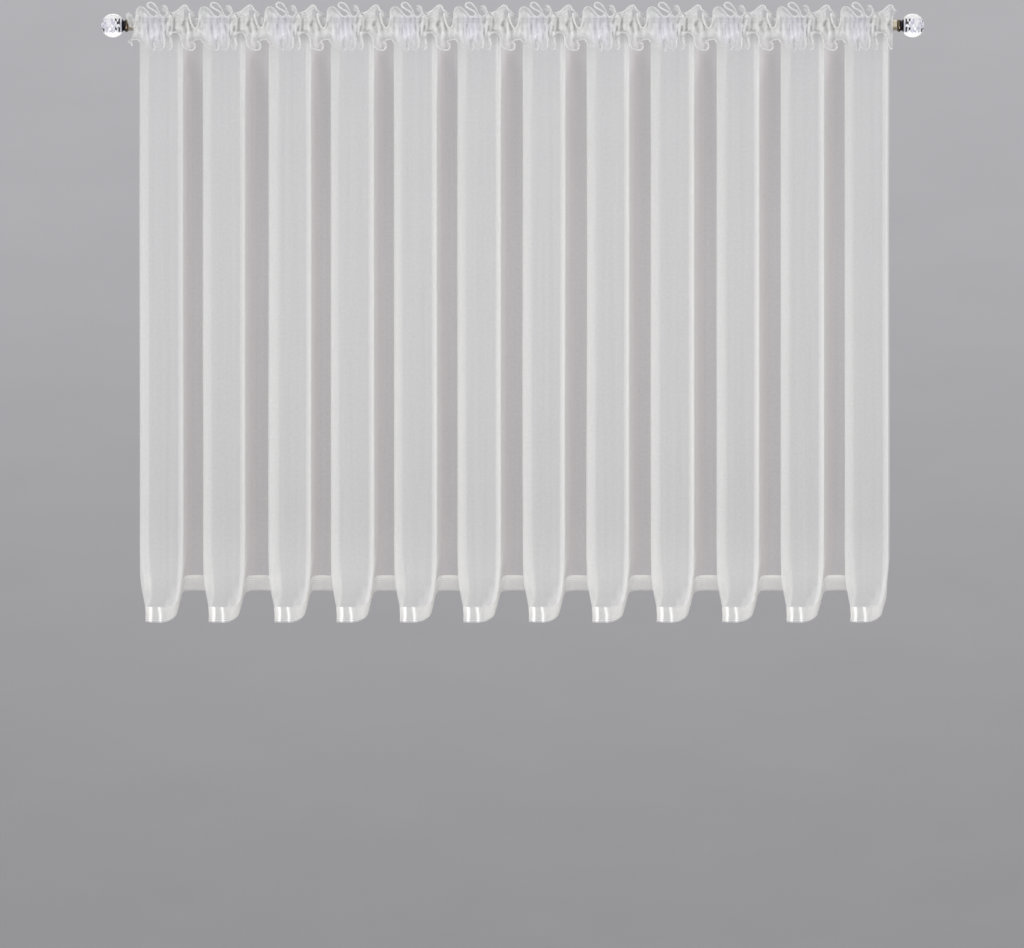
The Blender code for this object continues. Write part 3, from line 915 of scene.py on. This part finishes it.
        # Painted shade in the pleats' hollows and crease troughs, painted highlight on crease
        # ridges and along the fine creases, and painted light and shade by part
        painted_pleat_light = pleats_at(down)[1]
        folded = creases_at(grid[index])
        fine = creases(down) * strength
        lit = np.where(folded < 0, TROUGH_SHADE * folded, folded)
        level = PART_SHADE[kind]
        if kind == "top":
            level += STITCH_PAINTED_LIGHT * smooth(1 - 3 * t)
        shade[index] = level * (1 - 0.5 * (1 - painted_pleat_light) * strength) * (1 + lit) * (1 + 0.05 * fine)
        painted_shade[index] = tinted * tight
        ripple[index] = fine
        grid[index][:, 1] -= CREASE_DEPTH * folded
    steps = np.linalg.norm(np.diff(grid, axis=0), axis=2).mean(axis=1)
    run_up = np.concatenate([[0], np.cumsum(steps)])
    uv = np.stack(np.meshgrid(run_length(top), run_up), axis=-1) * MM
    attributes = {"cover": cover, "shade": shade, "tight": painted_shade, "ripple": ripple}
    heading = grid_mesh("heading_frill", grid, uv, attributes)
    area = sum(p.area for p in heading.data.polygons)
    flat_high = float(run_up[-1]) * MM
    top_from = shares >= TOP_EDGE_STARTS - 1
    foot_from = shares >= FOOT_STARTS - 1
    rolls = [
        rolled_edge("frill_top_edge", top[top_from], shares[top_from], 0),
        rolled_edge("frill_foot_edge", foot[foot_from], shares[foot_from], 1),
    ]
    return heading, (area / flat_high, flat_high), rolls


def rolled_edge(name, line, shares, show_column):
    """The narrow rolled hem along a frill's edge."""
    show = columns_at(EDGE_SHOW, shares % 1.0)[show_column]
    along = unit(np.gradient(line, axis=0))
    aside = unit(np.cross(along, np.array(ROLLED_EDGE_UP)))
    across = np.cross(along, aside)
    rings = []
    for corner in range(ROLLED_EDGE_SIDES + 1):
        turn = 2 * math.pi * corner / ROLLED_EDGE_SIDES
        # Uneven rolling; the seam corners are one line
        lump = np.sin(shares * 400 + (corner % ROLLED_EDGE_SIDES))
        radius = (ROLLED_EDGE_RADIUS * (1 + 0.12 * lump))[:, None]
        rings.append(line + radius * (aside * np.cos(turn) + across * np.sin(turn)))
    run_round = np.linspace(0, 2 * math.pi * ROLLED_EDGE_RADIUS, ROLLED_EDGE_SIDES + 1)
    uv = np.stack(np.meshgrid(run_length(line), run_round), axis=-1) * MM
    attributes = {"show": np.tile(show, (ROLLED_EDGE_SIDES + 1, 1))}
    return grid_mesh(name, np.array(rings), uv, attributes)


class Nodes:
    """A new material, with short ways to add and join its nodes."""

    def __init__(self, name):
        self.material = bpy.data.materials.new(name)
        self.material.use_nodes = True
        self.tree = self.material.node_tree
        self.tree.nodes.clear()

    def add(self, kind, sockets=None, **settings):
        """A node. sockets: a value or another node's output for each input it names."""
        node = self.tree.nodes.new(kind)
        for key, value in settings.items():
            setattr(node, key, value)
        for key, value in (sockets or {}).items():
            if isinstance(value, (int, float, tuple)):
                node.inputs[key].default_value = value
            else:
                self.tree.links.new(value, node.inputs[key])
        return node

    def math(self, operation, first, second=0.0, clamp=False):
        settings = {"operation": operation, "use_clamp": clamp}
        return self.add("ShaderNodeMath", {0: first, 1: second}, **settings).outputs[0]

    def times(self, first, second):
        return self.math("MULTIPLY", first, second)

    def around(self, value, middle, amount):
        """How far the value lies from the middle, times the amount."""
        return self.times(self.math("SUBTRACT", value, middle), amount)

    def total(self, first, *others):
        """The sum, kept between 0 and 1."""
        for other in others[:-1]:
            first = self.math("ADD", first, other)
        return self.math("ADD", first, others[-1], clamp=True)

    def value(self, name):
        return self.add("ShaderNodeAttribute", attribute_name=name).outputs["Fac"]

    def object_place(self):
        return self.add("ShaderNodeTexCoord").outputs["Object"]

    def mix(self, factor, first, second, **settings):
        sockets = {"Factor": factor, "A": first, "B": second}
        node = self.add("ShaderNodeMix", sockets, data_type="RGBA", **settings)
        return node.outputs["Result"]

    def blend(self, factor, first, second):
        return self.mix(factor, first, second, clamp_factor=False)

    # Colour times a painted shade
    def tinted(self, factor, colour, painted_shade):
        return self.mix(factor, colour, painted_shade, blend_type="MULTIPLY")

    def wave(self, vector, scale, direction):
        sockets = {"Vector": vector, "Scale": scale}
        node = self.add("ShaderNodeTexWave", sockets, bands_direction=direction)
        return node.outputs["Fac"]

    def noise(self, vector, scale, detail):
        sockets = {"Vector": vector, "Scale": scale, "Detail": detail}
        return self.add("ShaderNodeTexNoise", sockets).outputs["Fac"]

    def bump(self, height, strength, distance):
        sockets = {"Strength": strength, "Distance": distance, "Height": height}
        return self.add("ShaderNodeBump", sockets).outputs[0]

    def mix_shaders(self, factor, first, second):
        sockets = {0: factor, 1: first.outputs[0], 2: second.outputs[0]}
        return self.add("ShaderNodeMixShader", sockets)

    def finish(self, shader):
        self.add("ShaderNodeOutputMaterial", {"Surface": shader.outputs[0]})
        return self.material


def cloth_shader(nodes, colour, density, bump, roughness, sheen, passing):
    """See-through cloth: threads that return and pass light, and gaps between them."""
    sockets = {
        "Base Color": colour,
        "Roughness": roughness,
        "Specular IOR Level": 0.35,
        "Sheen Weight": sheen,
        "Sheen Roughness": 0.4,
        "Normal": bump,
    }
    surface = nodes.add("ShaderNodeBsdfPrincipled", sockets)
    through = nodes.add("ShaderNodeBsdfTranslucent", {"Color": colour})
    gaps = nodes.add("ShaderNodeBsdfTransparent")
    threads = nodes.mix_shaders(passing, surface, through)
    return nodes.finish(nodes.mix_shaders(density, gaps, threads))


def weave(nodes, thread_scale):
    """Plain weave in the cloth's own length and width: place, threads, slubs and bump."""
    place = nodes.add("ShaderNodeUVMap", uv_map="cloth").outputs[0]
    warp = nodes.wave(place, thread_scale, "X")
    weft = nodes.wave(place, thread_scale * 0.9, "Y")
    slub = nodes.noise(place, 140.0, 4.0)
    threads = nodes.math("MAXIMUM", warp, weft)
    height = nodes.math("ADD", threads, nodes.times(slub, 0.6))
    return place, threads, slub, nodes.bump(height, 0.25, 0.0006)


def voile_material():
    nodes = Nodes("sheer_voile")
    place, threads, slub, bump = weave(nodes, CLOTH_THREADS)
    hem, satin, painted_hem_top_light = [nodes.value(name) for name in ("hem", "satin", "painted_hem_top_light")]
    # Streaks down the cloth, much longer than wide
    drawn_out = nodes.add("ShaderNodeMapping", {"Vector": place, "Scale": (60.0, 1.3, 1.0)})
    streaks = nodes.noise(drawn_out.outputs[0], 1.0, 4.0)
    stitches = nodes.times(nodes.value("above_foot"), 2 * math.pi / (STITCH_PITCH * MM))
    stitches = nodes.times(nodes.math("COSINE", stitches), nodes.value("stitching"))
    # The painted satin highlights also thicken the cover
    density = nodes.total(
        nodes.value("cover"),
        nodes.around(streaks, 0.5, 0.10),
        nodes.around(slub, 0.5, 0.08),
        nodes.around(threads, 0.7, 0.06),
        nodes.times(stitches, 0.14),
        nodes.times(satin, 0.55),
    )
    # Painted light and painted shade across the fold, on the cloth's own colour
    shaded = nodes.blend(nodes.value("painted_light"), BLACK, VOILE_WHITE)
    # A rosy painted shade in the valleys, then the hem's own colour
    hemmed = nodes.blend(hem, nodes.tinted(nodes.value("painted_valley_shade"), shaded, VALLEY_SHADE_TINT), HEM_WHITE)
    # Painted light along the hem's top at the back, then the painted satin highlights
    colour = nodes.blend(satin, nodes.blend(painted_hem_top_light, hemmed, HEM_TOP_PAINTED_LIGHT), SATIN_PAINTED_HIGHLIGHT)
    roughness = nodes.math("SUBTRACT", 0.62, nodes.times(hem, 0.25))
    # The painted satin highlights and the painted light along the hem's top at the back return
    # light and pass almost none
    lit_only = nodes.math("MAXIMUM", satin, painted_hem_top_light)
    passing = nodes.math("SUBTRACT", 0.35, nodes.times(lit_only, 0.33), clamp=True)
    return cloth_shader(nodes, colour, density, bump, roughness, 0.15, passing)


def heading_material():
    nodes = Nodes("gathered_voile")
    _, _, slub, bump = weave(nodes, CLOTH_THREADS)
    density = nodes.total(
        nodes.value("cover"),
        nodes.times(nodes.value("ripple"), 0.10),
        nodes.around(slub, 0.5, 0.2),
    )
    # Where the gathers lie tight the colour turns to a darker lavender painted shade
    colour = nodes.blend(nodes.value("tight"), HEADING_WHITE, GATHER_PAINTED_SHADE)
    shaded = nodes.tinted(1.0, colour, nodes.value("shade"))
    return cloth_shader(nodes, shaded, density, bump, 0.6, 0.15, 0.15)


def rolled_edge_material():
    nodes = Nodes("satin_edge")
    _, _, slub, bump = weave(nodes, EDGE_THREADS)
    colour = nodes.blend(slub, EDGE_DULL, EDGE_BRIGHT)
    density = nodes.math("ADD", 0.66, nodes.times(slub, 0.3))
    density = nodes.math("MULTIPLY", density, nodes.value("show"), clamp=True)
    return cloth_shader(nodes, colour, density, bump, 0.45, 0.1, 0.2)


def metal_material(name, colour, roughness, brushing, neck=None):
    """Metal with fine turning marks and faint handling marks. neck: colour of the rod side."""
    nodes = Nodes(name)
    place = nodes.object_place()
    smudge = nodes.noise(place, 60.0, 4.0)
    darker = tuple(c * 0.8 for c in colour[:3]) + (1,)
    shown = nodes.blend(smudge, darker, colour)
    if neck:
        position = nodes.add("ShaderNodeNewGeometry").outputs["Position"]
        split = nodes.add("ShaderNodeSeparateXYZ", {0: position})
        away = nodes.math("ABSOLUTE", split.outputs["X"])
        on_neck = nodes.math("LESS_THAN", away, COLLAR_NECK_REACH * MM)
        shown = nodes.blend(on_neck, shown, neck)
    sockets = {
        "Base Color": shown,
        "Metallic": 1.0,
        "Roughness": nodes.math("ADD", roughness, nodes.times(smudge, 0.15)),
        "Normal": nodes.bump(nodes.wave(place, brushing, "X"), 0.12, 0.0004),
    }
    return nodes.finish(nodes.add("ShaderNodeBsdfPrincipled", sockets))


def crystal_material():
    nodes = Nodes("cut_crystal")
    painted_highlight = nodes.value("painted_highlight")
    # Painted highlights lift facets from the crystal's lavender and make them less clear
    clear = nodes.blend(painted_highlight, CRYSTAL_LAVENDER, WHITE)
    dust = nodes.noise(nodes.object_place(), 90.0, 3.0)
    # The foot's facets give off painted light by emission, though the crystal is no lamp
    sockets = {
        "Base Color": nodes.blend(nodes.value("painted_collar_reflection"), clear, CRYSTAL_COLLAR_REFLECTION),
        "Transmission Weight": nodes.math("SUBTRACT", 0.35, nodes.times(painted_highlight, 0.33)),
        "IOR": 1.52,
        "Emission Color": WHITE,
        "Emission Strength": nodes.times(nodes.value("painted_glow"), FOOT_PAINTED_GLOW),
        "Roughness": nodes.times(dust, 0.04),
    }
    return nodes.finish(nodes.add("ShaderNodeBsdfPrincipled", sockets))


def build_crystal(side, sign):
    """A cut crystal ball: rings of flat facets turned half a step from each other."""
    points = []
    for level in range(CRYSTAL_LEVELS + 1):
        turn = math.pi * (CRYSTAL_SEAT + (1 - CRYSTAL_SEAT) * level / CRYSTAL_LEVELS)
        along = sign * (CRYSTAL_CENTRE - CRYSTAL_RADIUS * math.cos(turn)) * MM
        radius = max(CRYSTAL_RADIUS * math.sin(turn), CRYSTAL_POLE_RADIUS)
        for spoke in range(CRYSTAL_SPOKES):
            angle = 2 * math.pi * (spoke + 0.5 * (level % 2)) / CRYSTAL_SPOKES
            out, up = radius * math.cos(angle), radius * math.sin(angle)
            points.append((along, out * MM, up * MM))
    faces = []
    for level in range(CRYSTAL_LEVELS):
        for spoke in range(CRYSTAL_SPOKES):
            here = level * CRYSTAL_SPOKES + spoke
            beside = level * CRYSTAL_SPOKES + (spoke + 1) % CRYSTAL_SPOKES
            above, above_beside = here + CRYSTAL_SPOKES, beside + CRYSTAL_SPOKES
            if level % 2:
                faces += [(here, beside, above_beside), (here, above_beside, above)]
            else:
                faces += [(here, beside, above), (beside, above_beside, above)]
    last = CRYSTAL_LEVELS * CRYSTAL_SPOKES
    faces.append(tuple(range(CRYSTAL_SPOKES))[::-1])
    faces.append(tuple(range(last, last + CRYSTAL_SPOKES)))
    if sign < 0:
        faces = [face[::-1] for face in faces]
    mesh = bpy.data.meshes.new("crystal_" + side)
    mesh.from_pydata(points, [], faces)
    mesh.update()
    for name, values in facet_looks(points, faces, sign).items():
        facet = mesh.attributes.new(name, "FLOAT", "FACE")
        facet.data.foreach_set("value", values.astype(np.float32))
    return link_mesh("crystal_" + side, mesh)


def facet_looks(points, faces, sign):
    """Which facets show a painted reflection of the collar, how strong each one's painted
    highlight is, and how much painted light it gives off.
    """
    pairs = np.random.default_rng(CRYSTAL_SEED).random(len(faces) // 2 + 1)
    chance = np.repeat(pairs, 2)[: len(faces)]
    middles = np.array([np.mean([points[k] for k in face], axis=0) for face in faces]) / MM
    reach = middles[:, 0] * sign - CRYSTAL_CENTRE
    seen = seen_height(middles)
    high = np.abs(seen) / CRYSTAL_RADIUS

    def reflection_facets(table, fading=1.0):
        starts, ends, highest, share = table
        placed = (reach > starts) & (reach < ends) & (high < highest)
        return placed & (chance < share * fading)

    # The painted highlight bands have ragged edges, and a few other facets get a painted
    # highlight by chance
    near_collar = reflection_facets(COLLAR_REFLECTIONS, smooth(-reach / COLLAR_REFLECTIONS_FADE))
    highlight_band = smooth((high - HIGHLIGHT_BAND_STARTS) * 7 + 0.6 * (chance - 0.5))
    return {
        "painted_collar_reflection": near_collar | reflection_facets(FAR_REFLECTIONS),
        "painted_highlight": np.maximum(highlight_band, 0.8 * smooth((chance - 0.38) * 2)),
        "painted_glow": highlight_band * smooth(-seen / 8),
    }


def floor_material():
    nodes = Nodes("studio_floor")
    place = nodes.object_place()
    split = nodes.add("ShaderNodeSeparateXYZ", {0: place})
    # Painted shade: darker toward the viewer
    near = nodes.math("SUBTRACT", FLOOR_DARKENS_FROM, split.outputs["Y"])
    near = nodes.math("MULTIPLY", near, FLOOR_PAINTED_SHADE, clamp=True)
    grey = nodes.blend(nodes.noise(place, 3.0, 5.0), *FLOOR_GREYS)
    sockets = {
        "Base Color": nodes.blend(near, grey, BLACK),
        "Roughness": 0.95,
        "Specular IOR Level": 0.1,
    }
    return nodes.finish(nodes.add("ShaderNodeBsdfPrincipled", sockets))


def build_floor():
    bpy.ops.mesh.primitive_plane_add(size=FLOOR_SIZE, location=(0, 3, FLOOR_HEIGHT))
    floor = bpy.context.object
    floor.name = "floor"
    floor.data.materials.append(floor_material())


def build_lights():
    for name, place, aim, size, power, spread in LIGHTS:
        data = bpy.data.lights.new(name, "AREA")
        data.shape = "RECTANGLE"
        data.size, data.size_y = size
        data.energy = power
        data.spread = math.radians(spread)
        lamp = bpy.data.objects.new(name, data)
        lamp.location = place
        aimed = Vector(aim) - Vector(place)
        lamp.rotation_euler = aimed.to_track_quat("-Z", "Y").to_euler()
        bpy.context.scene.collection.objects.link(lamp)
    world = bpy.data.worlds.new("studio")
    world.use_nodes = True
    background = next(n for n in world.node_tree.nodes if n.type == "BACKGROUND")
    background.inputs["Color"].default_value = STUDIO_AIR
    background.inputs["Strength"].default_value = STUDIO_AIR_STRENGTH
    bpy.context.scene.world = world


def build_camera():
    up = Vector((0, math.sin(VIEW_DOWN), math.cos(VIEW_DOWN)))
    look = Vector((0, math.cos(VIEW_DOWN), -math.sin(VIEW_DOWN)))
    scale = MM_PER_PIXEL * MM
    right_of_middle = (PICTURE_WIDE / 2 - ROD_PIXEL[0]) * scale
    under_middle = (ROD_PIXEL[1] - PICTURE_HIGH / 2) * scale
    middle = Vector((right_of_middle, 0, 0)) + up * under_middle
    data = bpy.data.cameras.new("photo_camera")
    data.type = "ORTHO"
    data.ortho_scale = PICTURE_WIDE * scale
    camera = bpy.data.objects.new("photo_camera", data)
    camera.location = middle - look * CAMERA_AWAY
    camera.rotation_euler = look.to_track_quat("-Z", "Y").to_euler()
    bpy.context.scene.collection.objects.link(camera)
    bpy.context.scene.camera = camera


def dress_node(name, material):
    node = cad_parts[name]
    node.data.materials.clear()
    node.data.materials.append(material)


panel, panel_flat = build_panel()
panel.data.materials.append(voile_material())
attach(panel, "root")
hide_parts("panel")

heading, heading_flat, rolls = build_heading()
heading.data.materials.append(heading_material())
satin = rolled_edge_material()
for piece in [heading] + rolls:
    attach(piece, "root")
for roll in rolls:
    roll.data.materials.append(satin)
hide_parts("heading")

rod_metal = metal_material("pale_brass", ROD_BRASS, 0.25, 160.0)
collar_metal = metal_material("dark_polished", COLLAR_BLACK, 0.15, 300.0, COLLAR_BRONZE)
crystal = crystal_material()
dress_node("rod", rod_metal)
for side, sign in (("left", -1), ("right", 1)):
    dress_node("collar_" + side, collar_metal)
    ball = build_crystal(side, sign)
    ball.data.materials.append(crystal)
    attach(ball, "root")
    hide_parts("finial_" + side)

build_floor()
build_lights()
build_camera()
bpy.context.scene.view_settings.view_transform = "Standard"
